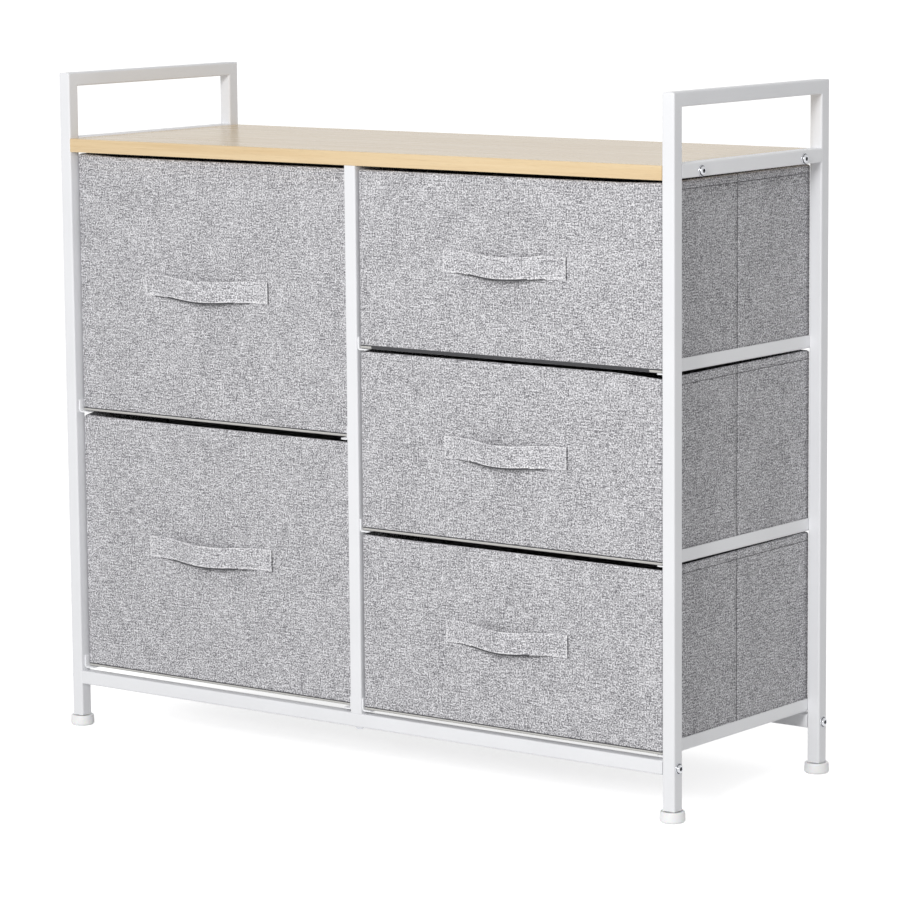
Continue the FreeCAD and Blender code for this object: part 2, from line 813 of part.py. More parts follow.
def drawer(name, x, step, pitch, height, setback, strap_length, strap_shift):
    """One drawer: fabric bin, wall panels, base board and strap handle."""
    z = f"({slide_height(step, pitch)} + {BIN_SEAT})"
    y = f"({setback} - {HALF_DEPTH})"
    shell = bin_shell(f"{name}_bin_shell", height)
    keep(place(shell, x, y, z))
    keep(wall_panels(f"{name}_wall_panels", height, x, y, z))
    keep(base_board(f"{name}_base_board", x, y, z))
    strap = strap_handle(f"{name}_strap_handle", strap_length)
    strap_x = f"{x} - {strap_length} / 2 - {strap_shift}"
    strap_y = f"{y} - sizes.strap_thickness / 2"
    strap_z = f"{z} + {height} / 2 + sizes.strap_rise"
    keep(place(strap, strap_x, strap_y, strap_z))


# ---------------------------------------------------------------------------
# The whole dresser
# ---------------------------------------------------------------------------

side_frame("left", "-1")
side_frame("right", "1")
centre_frame()
bottom_rail("front", f"-{POST_Y}")
bottom_rail("rear", POST_Y)

column_slides(
    "left_side",
    "centre_left",
    f"-{INNER_FACE_X}",
    f"-{HALF_TUBE}",
    ("lower", "upper"),
    LARGE_PITCH,
    ("sizes.side_slide_setback", "sizes.centre_slide_setback"),
)
column_slides(
    "centre_right",
    "right_side",
    HALF_TUBE,
    INNER_FACE_X,
    ("bottom", "middle", "top"),
    SMALL_PITCH,
    ("sizes.centre_slide_setback", "sizes.side_slide_setback"),
)

top_board()
edge_bands()
fasteners()
for foot_side, foot_x in (("left", f"-{SIDE_POST_X}"), ("right", SIDE_POST_X)):
    levelling_foot(f"{foot_side}_front_foot", foot_x, f"-{POST_Y}")
    levelling_foot(f"{foot_side}_rear_foot", foot_x, POST_Y)

for number, name in enumerate(("lower_left", "upper_left")):
    drawer(
        name,
        f"(-{BAY_CENTRE_X})",
        number,
        LARGE_PITCH,
        LARGE_BIN_HEIGHT,
        "sizes.large_bin_setback",
        "sizes.large_strap_length",
        "sizes.large_strap_shift",
    )
for number, name in enumerate(("bottom_right", "middle_right", "top_right")):
    drawer(
        name,
        BAY_CENTRE_X,
        number,
        SMALL_PITCH,
        SMALL_BIN_HEIGHT,
        "sizes.small_bin_setback",
        "sizes.small_strap_length",
        "sizes.small_strap_shift",
    )

doc.recompute()

# ---------------------------------------------------------------------------
# Test every object, then write each piece
# ---------------------------------------------------------------------------

for item in doc.Objects:
    if "Invalid" in item.State or "Error" in item.State:
        raise RuntimeError(f"{item.Name} failed: {item.State}")
for item in nodes:
    if item.Shape.isNull() or not item.Shape.isValid():
        raise RuntimeError(f"{item.Label} has no valid shape")
    if not item.Shape.Solids:
        raise RuntimeError(f"{item.Label} has no solid")

os.makedirs("parts", exist_ok=True)
for item in nodes:
    item.Shape.exportStep(f"parts/{item.Label}.step")
print(f"{len(nodes)} pieces written")
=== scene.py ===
import math

import bmesh
import bpy
from bpy.props import FloatProperty, FloatVectorProperty, PointerProperty
from mathutils import Matrix, Vector, noise


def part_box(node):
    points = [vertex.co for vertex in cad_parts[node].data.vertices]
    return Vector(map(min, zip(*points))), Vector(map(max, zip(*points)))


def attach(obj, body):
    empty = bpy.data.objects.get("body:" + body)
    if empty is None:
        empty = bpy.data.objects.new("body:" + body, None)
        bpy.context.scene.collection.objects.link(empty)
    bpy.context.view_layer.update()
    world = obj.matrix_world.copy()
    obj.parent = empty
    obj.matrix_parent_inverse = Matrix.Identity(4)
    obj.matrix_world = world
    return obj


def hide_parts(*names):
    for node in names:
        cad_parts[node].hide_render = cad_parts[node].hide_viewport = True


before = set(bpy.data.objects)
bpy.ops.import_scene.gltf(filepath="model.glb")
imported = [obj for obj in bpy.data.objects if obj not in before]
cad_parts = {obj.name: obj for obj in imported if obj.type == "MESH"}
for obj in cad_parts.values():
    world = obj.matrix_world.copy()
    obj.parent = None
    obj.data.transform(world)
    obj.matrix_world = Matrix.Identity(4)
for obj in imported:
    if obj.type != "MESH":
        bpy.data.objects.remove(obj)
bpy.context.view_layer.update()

bl_info = {
    "name": "Fabric drawer dresser",
    "version": (1, 0, 0),
    "blender": (4, 5, 0),
    "location": "3D View > Sidebar > Dresser",
    "description": "Sews the fabric drawers and finishes the frame, board, bolts and feet",
    "category": "Object",
}

DRAWERS = ("lower_left", "upper_left", "bottom_right", "middle_right", "top_right")
FEET = ("left_front", "right_front", "left_rear", "right_rear")

STEEL_NODES = (
    *(f"{side}_{end}_post" for side in ("left", "centre", "right") for end in ("front", "rear")),
    "left_handle_bar",
    "right_handle_bar",
    "centre_top_bar",
    "bottom_front_rail",
    "bottom_rear_rail",
)
SLIDE_LEVELS = {
    "left_side_slide": ("lower", "upper"),
    "centre_left_slide": ("lower", "upper"),
    "centre_right_slide": ("bottom", "middle", "top"),
    "right_side_slide": ("bottom", "middle", "top"),
}
# the slides and crossbars have the tubes' coat; their paler copy of it is painted light, for the
# light they miss inboard
PAINTED_LIGHT_STEEL_NODES = (
    "left_crossbar",
    "right_crossbar",
    *(f"{slide}_{level}" for slide, rows in SLIDE_LEVELS.items() for level in rows),
)


# ---- Settings ----


# Heights of each bin's rim against its sewn height, in mm: left, middle and right of the front
# wall, the same of the rear wall, and the depth over which the first turn into the second.
RIMS = {
    "lower_left": ((-1.1, -1.1, -1.1), (1.8, -1.1, -1.1), 12),
    "upper_left": ((0.8, -1.4, -1.4), (1.6, -0.6, -0.6), 278),
    "bottom_right": ((-0.4, -0.7, -0.7), (0.0, 0.0, 1.5), 278),
    "middle_right": ((1.0, 1.2, -1.8), (1.0, 1.0, 0.3), 278),
    "top_right": ((-1.4, -1.4, 0.0), (0.0, 0.0, 1.4), 278),
}
RIM_REACH = 0.060  # the rim's moves reach this far down,
RIM_FADE = 0.036  # and fade out over this much of it

TAUT_SIDE = 0.025  # the cloth is pulled taut this close to a corner,
TAUT_HEIGHT = 0.020  # and this close to a seam
PUCKER = 0.0012  # the hem's stitches draw in the cloth this far above and below them,
HEM_GROOVE = 0.0005  # and this deep
BINDING_FOOT = 0.0003  # the binding starts this far above a bin's underside
FOLD_RUN = 0.010  # the fold lines deepen over this height above the binding
STITCH_END = 0.005  # the hem's stitches stop this short of a corner
GRID_MARGIN = 0.004  # the cloth's grid starts this far inside the rounded corners
ROW_GAP = 0.002  # least height between two rows of the bins' meshes
HEM_ROWS = (0.004, 0.0075, 0.0087, 0.0095, 0.014)  # rows of the hem's mesh, from the rim down

STRAP_RIPPLE = 0.0004
STRAP_CUP = 0.0006  # how far the strap's upper and lower edges curl
BOX_GAP = 0.001  # from a stitched box to the end of the sewn part
SHADE_TAPER = 0.020  # the dark edge is half as high this close to its ends
SLOPE_STEP = 0.0005  # for the strap's slope
STRAP_COLUMN, STRAP_ROW = 0.0025, 0.004  # spacing of the strap's mesh

# how close to a point, a flat side, a cloth wall or a line counts as on it
SAME_POINT, ON_SIDE, ON_WALL, ON_LINE = 1e-6, 1e-5, 1e-4, 0.001

BOLT_HEAD = 0.0032  # height
BOLT_HEAD_RADIUS = 0.005  # without the flange
SOCKET_REACH = 0.0021  # half the socket's width across its flats

LAMP_SIZE = 0.9, 1.2  # width and height
LAMP_TARGET = Vector((0, 0, 0.35))

# the bins' and straps' finishes after number 0, the plain fabric: the pale binding and the strap's
# painted highlights, then the dark seams and the painted shade
PALE_AND_HIGHLIGHT, DARK_AND_SHADE = 1, 2


def amount(name, description, default, **limits):
    return FloatProperty(name=name, description=description, default=default, **limits)


def triple(name, description, default, **limits):
    return FloatVectorProperty(name=name, description=description, default=default, **limits)


def length(name, description, default, **limits):
    return amount(name, description, default, unit="LENGTH", precision=5, **limits)


def colour(name, description, default):
    return triple(name, description, default, subtype="COLOR", min=0, max=1)


def position(name, description, default):
    return triple(name, description, default, subtype="TRANSLATION")


class DresserCloth(bpy.types.PropertyGroup):
    """Sizes and colours of the sewn fabric."""

    thickness: length("Thickness", "Thickness of the outer fabric", 0.0007)
    hem_offset: length("Hem offset", "From a bin's outside to the middle of its inner hem", 0.0044)
    hem_depth: length("Hem depth", "How far the hem comes down inside the bin", 0.022)
    corner_radius: length("Corner radius", "Rounding of the bin's sewn edges", 0.0018)
    grid_step: length("Cloth grid", "Spacing of the cloth's mesh", 0.009, min=0.004)
    slack: length("Slack", "How deep the fabric's loose places sink", 0.00055)
    crease_depth: length("Crease depth", "Depth of the fold line down each side", 0.0005)
    crease_width: length("Crease width", "Width of the fold line down each side", 0.0026)
    hem_line: length("Hem line", "Lower stitch line under the rim", 0.0088)
    rim_line: length("Rim line", "Upper stitch line under the rim", 0.0042)
    binding_height: length("Binding height", "Height of the binding round the base", 0.0024)
    pale_left: length("Pale left end", "Length of the top binding's pale left end", 0.010)
    pale_right: length("Pale right end", "Length of the top binding's pale right end", 0.013)
    seam_height: length("Seam height", "Height of the seam above the binding", 0.0014)
    seam_groove: length("Seam groove", "Depth of the seam above the binding", 0.0003)
    rim_run: length("Rim run", "From a corner to where the rim has its middle's height", 0.055)
    stitch_length: length("Stitch length", "Length of one stitch", 0.003)
    stitch_gap: length("Stitch gap", "Gap between two stitches", 0.0008)
    # painted shade: the hem line on the side walls is coloured near black
    line_width: length("Stitched line", "Width of the dark hem line on the side walls", 0.0006)
    thread: length("Thread thickness", "Diameter of the sewing thread", 0.0008)
    yarn_pitch: length("Yarn pitch", "Spacing of the fabric's yarns", 0.0016)
    light_yarn: colour("Light yarn", "Colour of the palest yarns", (0.88, 0.875, 0.90))
    middle_yarn: colour("Middle yarn", "Colour of most yarns", (0.485, 0.48, 0.50))
    dark_yarn: colour("Dark yarn", "Colour of the darkest yarns", (0.155, 0.152, 0.165))
    binding: colour("Binding", "Colour of the binding round the base", (0.62, 0.61, 0.585))
    thread_colour: colour("Thread", "Colour of the sewing thread", (0.88, 0.875, 0.89))
    # near black for the seams; on the fold lines, hem lines and strap edges it is painted shade
    seam_and_shade_colour: colour("Dark thread", "Colour of seams and fold lines", (0.06, 0.06, 0.065))
    lining: colour("Lining", "Colour of the felt inside the drawers", (0.56, 0.56, 0.575))


class DresserStrap(bpy.types.PropertyGroup):
    """Shape of the strap handles."""

    thickness: length("Thickness", "Thickness of the folded strap", 0.0017)
    flat: length("Sewn end", "Length that is sewn flat at each end", 0.012)
    droop: length("Droop", "How far the strap's middle hangs below its ends", 0.0034)
    margin: length("Stitch margin", "From the strap's edge to its stitches", 0.0016)
    # painted shadow: the strap's lower edge is coloured near black where the strap stands off the
    # bin
    shade: length("Dark edge", "Height of the dark turned-in edge under the strap", 0.0018)
    lit_left: length("Pale left end", "Length without the dark edge at the left", 0.016)
    lit_right: length("Pale right end", "Length without the dark edge at the right", 0.024)
    # painted highlight: the folds along the strap's edges take a paler copy of the strap fabric
    fold: length("Fold", "Height of the pale folds along the strap's edges", 0.0014)
    weight: amount("Thread weight", "Strap thread, in thicknesses of the bins' thread", 1.6, min=1)


class DresserFinish(bpy.types.PropertyGroup):
    """Colours of the hard parts."""

    steel: colour("Powder coat", "Colour of the coated tubes", (0.86, 0.865, 0.885))
    # painted light: a paler copy of the tubes' coat, for the light the inboard slides and crossbars
    # miss
    slides: colour("Slides", "Colour of the coated slides and crossbars", (0.925, 0.93, 0.95))
    board_light: colour("Board, light", "Palest colour of the board's grain", (0.767, 0.62, 0.412))
    board_dark: colour("Board, dark", "Darkest colour of the board's grain", (0.65, 0.483, 0.283))
    edge_light: colour("Edges, light", "Palest colour of the edge strips", (0.82, 0.645, 0.405))
    edge_dark: colour("Edges, dark", "Darkest colour of the edge strips", (0.705, 0.515, 0.29))
    plastic: colour("Feet and plugs", "Colour of the moulded plastic", (0.93, 0.932, 0.936))
    bolt: colour("Bolts", "Colour of the plated bolts", (0.62, 0.63, 0.66))
    # painted shade: near black for the shade in the bolts' sockets and the dark reflections in the
    # groove round each head
    socket: colour("Sockets", "Colour of the bolts' sockets", (0.05, 0.05, 0.06))
    arris: length("Board arris", "Rounding of the board's front and back edges", 0.0008)


class DresserStage(bpy.types.PropertyGroup):
    """Floor, light and camera."""

    floor: colour("Floor", "Colour of the floor", (0.80, 0.80, 0.80))
    glow: amount("Floor glow", "Brightness added to the floor as seen", 0.73, min=0)
    ambient: amount("Ambient", "Strength of the light from all round", 0.50, min=0)
    key: amount("Key light", "Power of the front lamp", 84.0, min=0, unit="POWER")
    lamp: position("Lamp", "Place of the front lamp", (1.0, -3.7, 1.9))
    lens: amount("Lens", "Focal length of the camera", 157.97, min=1, unit="CAMERA")
    camera: position("Camera", "Place of the camera", (2.623, -3.394, 0.960))
    aim: triple(
        "Aim",
        "Turn to the left, tilt up and roll of the camera",
        (math.radians(37.484), math.radians(-8.311), math.radians(-0.5)),
        subtype="EULER",
    )


# ---- Meshes ----


def between(value):
    """The value, or 0 or 1 where it lies beyond them."""
    return max(0, min(1, value))


def new_data(name, mesh):
    """Turns a bmesh into mesh data, and frees it."""
    data = bpy.data.meshes.new(name)
    mesh.to_mesh(data)
    mesh.free()
    return data


def new_object(name, data):
    thing = bpy.data.objects.new(name, data)
    bpy.context.scene.collection.objects.link(thing)
    return thing


def make_piece(name, mesh, finishes, body, replaced=(), sharp=35):
    """Turns a bmesh into a piece that rides on a body."""
    data = new_data(name, mesh)
    for finish in finishes:
        data.materials.append(bpy.data.materials[finish])
    data.shade_smooth()
    data.set_sharp_from_angle(angle=math.radians(sharp))
    piece = new_object(name, data)
    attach(piece, body)
    if replaced:
        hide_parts(*replaced)
    return piece


def block(low, high):
    """A closed box between two corners."""
    mesh = bmesh.new()
    place = Matrix.Translation((low + high) / 2) @ Matrix.Diagonal((*(high - low), 1))
    bmesh.ops.create_cube(mesh, size=1, matrix=place)
    return mesh


def is_long(edge):
    """True for edges along a strip or strap."""
    return abs(edge.verts[0].co.x - edge.verts[1].co.x) > 0.1


def round_edges(mesh, edges, radius, segments=3):
    bmesh.ops.bevel(
        mesh,
        geom=edges,
        offset=radius,
        affect="EDGES",
        segments=segments,
        profile=0.5,
        material=-1,
        clamp_overlap=True,
    )


def slice_at(mesh, axis, places):
    """Cuts the mesh with planes across one axis."""
    for at in places:
        point, normal = Vector(), Vector()
        point[axis], normal[axis] = at, 1
        whole = mesh.verts[:] + mesh.edges[:] + mesh.faces[:]
        bmesh.ops.bisect_plane(mesh, geom=whole, plane_co=point, plane_no=normal, dist=SAME_POINT)


def spread(low, high, step):
    """Evenly spaced places between two ends."""
    count = max(1, round((high - low) / step))
    return [low + (high - low) * i / count for i in range(1, count)]


def turn_profile(points, steps):
    """Turns an open profile of (radius, height) points round the Z axis."""
    mesh = bmesh.new()
    rim = [mesh.verts.new((radius, 0, height)) for radius, height in points]
    sides = [mesh.edges.new(pair) for pair in zip(rim, rim[1:])]
    bmesh.ops.spin(
        mesh, geom=rim + sides, axis=(0, 0, 1), angle=math.tau, steps=steps, use_merge=True
    )
    bmesh.ops.remove_doubles(mesh, verts=mesh.verts[:], dist=SAME_POINT)
    return mesh


def arc(centre, radius, start, end, steps):
    """Points of an arc, with its angles in degrees."""
    angles = [math.radians(start + (end - start) * i / steps) for i in range(steps + 1)]
    return [(centre[0] + radius * math.cos(a), centre[1] + radius * math.sin(a)) for a in angles]


def pull_edges(mesh, edges):
    """Extrudes edges; the new edges and vertices still lie on the old ones."""
    pulled = bmesh.ops.extrude_edge_only(mesh, edges=edges)["geom"]
    kinds = bmesh.types.BMEdge, bmesh.types.BMVert
    return [[part for part in pulled if isinstance(part, kind)] for kind in kinds]


def add_copies(target, source, places=(Matrix.Identity(4),)):
    """Adds a copy of the source mesh at each place, and frees the source."""
    data = new_data("copy", source)
    for place in places:
        known = len(target.verts)
        target.from_mesh(data)
        target.verts.ensure_lookup_table()
        bmesh.ops.transform(target, matrix=place, verts=target.verts[known:])
    bpy.data.meshes.remove(data)


def sew(mesh, start, end, out, cloth, weight=1.0):
    """A straight row of stitches on a surface that faces `out`."""
    run = end - start
    pitch = cloth.stitch_length + cloth.stitch_gap
    count = max(1, int(run.length / pitch))
    along = run.normalized()
    across = out.cross(along)
    turn = Matrix((along, across, out)).transposed().to_4x4()
    size = Matrix.Diagonal((cloth.stitch_length, cloth.thread * weight, cloth.thread * weight, 1))
    for i in range(count):
        centre = start + along * (run.length * (i + 0.5) / count)
        bmesh.ops.create_icosphere(
            mesh, subdivisions=1, radius=0.5, matrix=Matrix.Translation(centre) @ turn @ size
        )


def lay_cloth_map(mesh):
    """A UV map in metres: each face is seen square on, so that the weave follows its wall."""
    layer = mesh.loops.layers.uv.new("cloth")
    for face in mesh.faces:
        lean = [abs(part) for part in face.normal]
        across = lean.index(max(lean))
        u, v = ((1, 2), (0, 2), (0, 1))[across]
        for loop in face.loops:
            loop[layer].uv = (loop.vert.co[u], loop.vert.co[v])


# ---- Finishes ----


# nearly all of a noise texture lies between these
NOISE_LOW, NOISE_HIGH = 0.3, 0.7

# a Mix node's sockets for colours
MIX_A, MIX_B, MIX_RESULT = 6, 7, 2


def empty_tree(owner):
    """The node tree of a new material or world, emptied."""
    owner.use_nodes = True
    owner.node_tree.nodes.clear()
    return owner.node_tree


def add_node(tree, kind, sources=(), **settings):
    """Adds a node; a source is a socket to join or a value to set."""
    node = tree.nodes.new("ShaderNode" + kind)
    for name, setting in settings.items():
        setattr(node, name, setting)
    for socket, source in dict(sources).items():
        if isinstance(source, bpy.types.NodeSocket):
            tree.links.new(source, node.inputs[socket])
        else:
            node.inputs[socket].default_value = source
    return node


def new_finish(name, **values):
    """A material with one shader; plain numbers go straight on its sockets."""
    tree = empty_tree(bpy.data.materials.new(name))
    sources = {socket.replace("_", " "): number for socket, number in values.items()}
    shader = add_node(tree, "BsdfPrincipled", sources)
    add_node(tree, "OutputMaterial", {0: shader.outputs[0]})
    return tree, shader


def object_place(tree):
    return add_node(tree, "TexCoord").outputs["Object"]


def cloth_place(tree):
    return add_node(tree, "UVMap", uv_map="cloth").outputs[0]


def noise_at(tree, place, detail, roughness):
    sources = {"Vector": place, "Scale": 1.0, "Detail": detail, "Roughness": roughness}
    return add_node(tree, "TexNoise", sources).outputs["Fac"]


def stretched_noise(tree, place, scale, detail=2.0, roughness=0.5):
    """Noise whose grain size differs along each axis."""
    mapped = add_node(tree, "Mapping", {"Vector": place, "Scale": scale})
    return noise_at(tree, mapped.outputs[0], detail, roughness)


def calculate(tree, operation, first, second=0):
    return add_node(tree, "Math", {0: first, 1: second}, operation=operation).outputs[0]


def plus(tree, first, second):
    return calculate(tree, "ADD", first, second)


def times(tree, first, second):
    return calculate(tree, "MULTIPLY", first, second)


def levels(tree, source, low, high, start=0.0, end=1.0):
    """Maps low..high to start..end, and stops at both ends."""
    limits = {"From Min": low, "From Max": high, "To Min": start, "To Max": end}
    return add_node(tree, "MapRange", {"Value": source, **limits}).outputs[0]


def ramp(tree, source, stops):
    """A colour ramp with a stop for each (place, colour)."""
    node = add_node(tree, "ValToRGB", {"Fac": source})
    points = node.color_ramp.elements
    while len(points) < len(stops):
        points.new(0.5)
    for point, (at, shade) in zip(points, stops):
        point.position = at
        point.color = (*shade, 1)
    return node.outputs[0]


def mottle(tree, shader, source, shade, dim, high=NOISE_HIGH):
    """Colours the shader, dimmed where the source is low."""
    dark = [channel * dim for channel in shade]
    tone = ramp(tree, levels(tree, source, NOISE_LOW, high), [(0, dark), (1, shade)])
    tree.links.new(tone, shader.inputs["Base Color"])


def roughen(tree, shader, source, low, high):
    """Lets the roughness follow the source between two values."""
    tone = levels(tree, source, NOISE_LOW, NOISE_HIGH, low, high)
    tree.links.new(tone, shader.inputs["Roughness"])


def relief(tree, shader, height, distance, strength=1.0):
    bump = add_node(tree, "Bump", {"Height": height, "Distance": distance, "Strength": strength})
    tree.links.new(bump.outputs[0], shader.inputs["Normal"])


def powder_coat(name, shade):
    """Sprayed and baked paint with a fine orange peel."""
    tree, shader = new_finish(name, IOR=1.5)
    place = object_place(tree)
    peel = stretched_noise(tree, place, (520, 520, 520), detail=3)
    mottle(tree, shader, stretched_noise(tree, place, (14, 14, 14)), shade, 0.965)
    roughen(tree, shader, peel, 0.36, 0.46)
    relief(tree, shader, peel, 0.00012, 0.6)


def wood_laminate(name, light, dark):
    """Printed pale wood grain that runs along X, under a satin coat."""
    tree, shader = new_finish(name, IOR=1.5, Specular_IOR_Level=0.3)
    place = object_place(tree)
    waver = stretched_noise(tree, place, (3.5, 9, 9), detail=1)
    sideways = levels(tree, waver, 0, 1, -0.012, 0.012)
    upwards = levels(tree, waver, 0, 1, -0.002, 0.002)
    shift = add_node(tree, "CombineXYZ", {"Y": sideways, "Z": upwards}).outputs[0]
    bent = add_node(tree, "VectorMath", {0: place, 1: shift}, operation="ADD").outputs[0]
    bands = stretched_noise(tree, bent, (1.6, 38, 60), detail=3, roughness=0.55)
    streaks = stretched_noise(tree, bent, (7, 260, 320), detail=3, roughness=0.6)
    pores = stretched_noise(tree, bent, (55, 1500, 1500), detail=1)
    grain = plus(tree, times(tree, bands, 0.55), times(tree, streaks, 0.45))
    middle = [0.5 * (a + b) for a, b in zip(light, dark)]
    tone = ramp(tree, levels(tree, grain, 0.33, 0.67), [(0, dark), (0.45, middle), (1, light)])
    depth = levels(tree, pores, 0.60, 0.74, 0, 0.28)
    pore = (*[channel * 0.72 for channel in dark], 1)
    pitted = add_node(tree, "Mix", {"Factor": depth, MIX_A: tone, MIX_B: pore}, data_type="RGBA")
    tree.links.new(pitted.outputs[MIX_RESULT], shader.inputs["Base Color"])
    roughen(tree, shader, streaks, 0.2, 0.28)
    relief(tree, shader, pores, 0.00003, 0.5)


def yarns(tree, across, along, pitch, slub, seed):
    """One set of yarns: each one's number, its round top and its uneven tone."""
    spaced = times(tree, across, 1 / pitch)
    number = calculate(tree, "FLOOR", spaced)
    top = calculate(tree, "ABSOLUTE", calculate(tree, "SINE", times(tree, spaced, math.pi)))
    at = add_node(
        tree,
        "CombineXYZ",
        {"X": times(tree, number, 7.31), "Y": times(tree, along, 1 / slub), "Z": seed},
    )
    return number, top, noise_at(tree, at.outputs[0], 3.0, 0.7)


def woven_fabric(name, cloth, tint=1.0):
    """A plain weave of slubby light and dark yarns, laid out on the cloth's own UV map."""
    tree, shader = new_finish(
        name, Roughness=0.95, Sheen_Weight=0.06, Sheen_Roughness=0.5, Specular_IOR_Level=0.15
    )
    uv = cloth_place(tree)
    split = add_node(tree, "SeparateXYZ", {0: uv}).outputs
    warp = yarns(tree, split["X"], split["Y"], cloth.yarn_pitch, 0.010, 3.7)
    weft = yarns(tree, split["Y"], split["X"], cloth.yarn_pitch, 0.014, 9.2)
    over = calculate(tree, "FLOORED_MODULO", plus(tree, warp[0], weft[0]), 2)
    height, mixed = (
        add_node(tree, "Mix", {"Factor": over, "A": a, "B": b}, data_type="FLOAT").outputs[0]
        for a, b in zip(warp[1:], weft[1:])
    )
    streaks = stretched_noise(tree, uv, (90, 640, 1))
    threads = stretched_noise(tree, uv, (620, 80, 1))
    clouds = stretched_noise(tree, uv, (22, 22, 1))
    flecks = stretched_noise(tree, uv, (590, 660, 1), detail=1)
    fibres = stretched_noise(tree, uv, (1500, 1500, 1), detail=1)
    tone = plus(tree, mixed, -0.5)
    extras = (streaks, threads, clouds, flecks, fibres)
    for extra, weight in zip(extras, (0.9, 0.55, 0.2, 2.2, 0.6)):
        tone = plus(tree, tone, times(tree, plus(tree, extra, -0.5), weight))
    shades = zip((0, 0.5, 1), (cloth.dark_yarn, cloth.middle_yarn, cloth.light_yarn))
    stops = [(at, [min(1, channel * tint) for channel in shade]) for at, shade in shades]
    shade = ramp(tree, levels(tree, tone, -0.42, 0.42), stops)
    tree.links.new(shade, shader.inputs["Base Color"])
    relief(tree, shader, plus(tree, height, times(tree, fibres, 0.4)), 0.00022, 0.55)


def plain_tape(name, shade):
    """Close plain cloth, for the binding, threads and seams."""
    tree, shader = new_finish(name, Roughness=0.85, Sheen_Weight=0.1)
    rib = stretched_noise(tree, cloth_place(tree), (1700, 1700, 1))
    mottle(tree, shader, rib, shade, 0.8)
    relief(tree, shader, rib, 0.0001, 0.6)


def pressed_felt(name, shade):
    """Non-woven cover of the boards inside the drawers, with its grid of pressed dots."""
    tree, shader = new_finish(name, Roughness=0.95, Sheen_Weight=0.1)
    place = object_place(tree)
    fibres = stretched_noise(tree, place, (900, 900, 900), detail=3, roughness=0.7)
    grid = add_node(tree, "TexVoronoi", {"Vector": place, "Scale": 420.0, "Randomness": 0.12})
    dots = levels(tree, grid.outputs["Distance"], 0.0, 0.45)
    mottle(tree, shader, fibres, shade, 0.72, high=0.72)
    relief(tree, shader, plus(tree, dots, times(tree, fibres, 0.5)), 0.00015, 0.7)


def moulded_plastic(name, shade):
    """White moulded plastic with a fine spark-eroded skin."""
    tree, shader = new_finish(name, IOR=1.49, Subsurface_Weight=0.08, Subsurface_Scale=0.002)
    skin = stretched_noise(tree, object_place(tree), (1400, 1400, 1400))
    mottle(tree, shader, skin, shade, 0.97)
    roughen(tree, shader, skin, 0.34, 0.44)
    relief(tree, shader, skin, 0.00004, 0.5)


def bright_plating(name, shade, low, high):
    """Plated metal with faint turning marks."""
    tree, shader = new_finish(name, Metallic=1.0)
    marks = stretched_noise(tree, object_place(tree), (1200, 1200, 1200), detail=3)
    mottle(tree, shader, marks, shade, 0.85)
    roughen(tree, shader, marks, low, high)
    relief(tree, shader, marks, 0.00002, 0.5)


def dress(nodes, finish):
    """Gives CAD nodes a finish."""
    for name in nodes:
        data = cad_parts[name].data
        data.materials.clear()
        data.materials.append(bpy.data.materials[finish])


class DRESSER_OT_finishes(bpy.types.Operator):
    """Mix every finish that the pieces use"""

    bl_idname = "dresser.finishes"
    bl_label = "Finishes"

    def execute(self, context):
        cloth, finish = context.scene.dresser_cloth, context.scene.dresser_finish
        powder_coat("white_powder_coat", finish.steel)
        powder_coat("painted_light_powder_coat", finish.slides)
        wood_laminate("pale_wood_laminate", finish.board_light, finish.board_dark)
        wood_laminate("pale_edge_strip", finish.edge_light, finish.edge_dark)
        woven_fabric("grey_woven_fabric", cloth)
        woven_fabric("grey_strap_fabric", cloth, tint=1.08)
        # painted highlight on the strap's folds and ends
        woven_fabric("painted_highlight_strap_fold", cloth, tint=1.5)
        plain_tape("pale_binding", cloth.binding)
        plain_tape("pale_thread", cloth.thread_colour)
        # near black for the seams, and painted shade on folds, hem lines, the front binding of the
        # top right bin and the straps
        plain_tape("dark_seam_and_painted_shade", cloth.seam_and_shade_colour)
        pressed_felt("grey_felt_lining", cloth.lining)
        moulded_plastic("white_moulded_plastic", finish.plastic)
        bright_plating("bright_bolt_plating", finish.bolt, 0.10, 0.2)
        # painted shade for the bolts' sockets and grooves
        bright_plating("painted_shade_bolt_socket", finish.socket, 0.45, 0.6)
        bright_plating("dull_zinc_plating", [c * 0.8 for c in finish.bolt], 0.28, 0.4)
        return {"FINISHED"}


# ---- Frame, board, bolts, feet ----


class DRESSER_OT_steelwork(bpy.types.Operator):
    """Coat the tubes and slides, and finish the plugs and inserts"""

    bl_idname = "dresser.steelwork"
    bl_label = "Steelwork"

    def execute(self, context):
        dress(STEEL_NODES, "white_powder_coat")
        # painted light: the paler copy of the coat
        dress(PAINTED_LIGHT_STEEL_NODES, "painted_light_powder_coat")
        dress(("post_end_plugs",), "white_moulded_plastic")
        dress(("rail_end_plugs", "centre_post_plugs", "board_inserts"), "dull_zinc_plating")
        return {"FINISHED"}


class DRESSER_OT_board(bpy.types.Operator):
    """Lay the laminate, and band the board's edges with rounded arrises"""

    bl_idname = "dresser.board"
    bl_label = "Top board"

    def execute(self, context):
        finish = context.scene.dresser_finish
        dress(("top_board",), "pale_wood_laminate")
        node = "top_board_edge_bands"
        low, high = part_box(node)
        core_low, core_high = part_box("top_board")
        bands = bmesh.new()
        for outer, inner in ((low, core_low), (high, core_high)):
            near, far = sorted((outer.y, inner.y))
            strip = block(Vector((low.x, near, low.z)), Vector((high.x, far, high.z)))
            arrises = [
                edge
                for edge in strip.edges
                if is_long(edge) and all(abs(v.co.y - outer.y) < ON_SIDE for v in edge.verts)
            ]
            round_edges(strip, arrises, finish.arris, 4)
            add_copies(bands, strip)
            left, right = sorted((outer.x, inner.x))
            end = block(Vector((left, core_low.y, low.z)), Vector((right, core_high.y, high.z)))
            add_copies(bands, end)
        finishes = ["pale_edge_strip"]
        make_piece("board_edge_strips", bands, finishes, "frame", [node], 60)
        return {"FINISHED"}


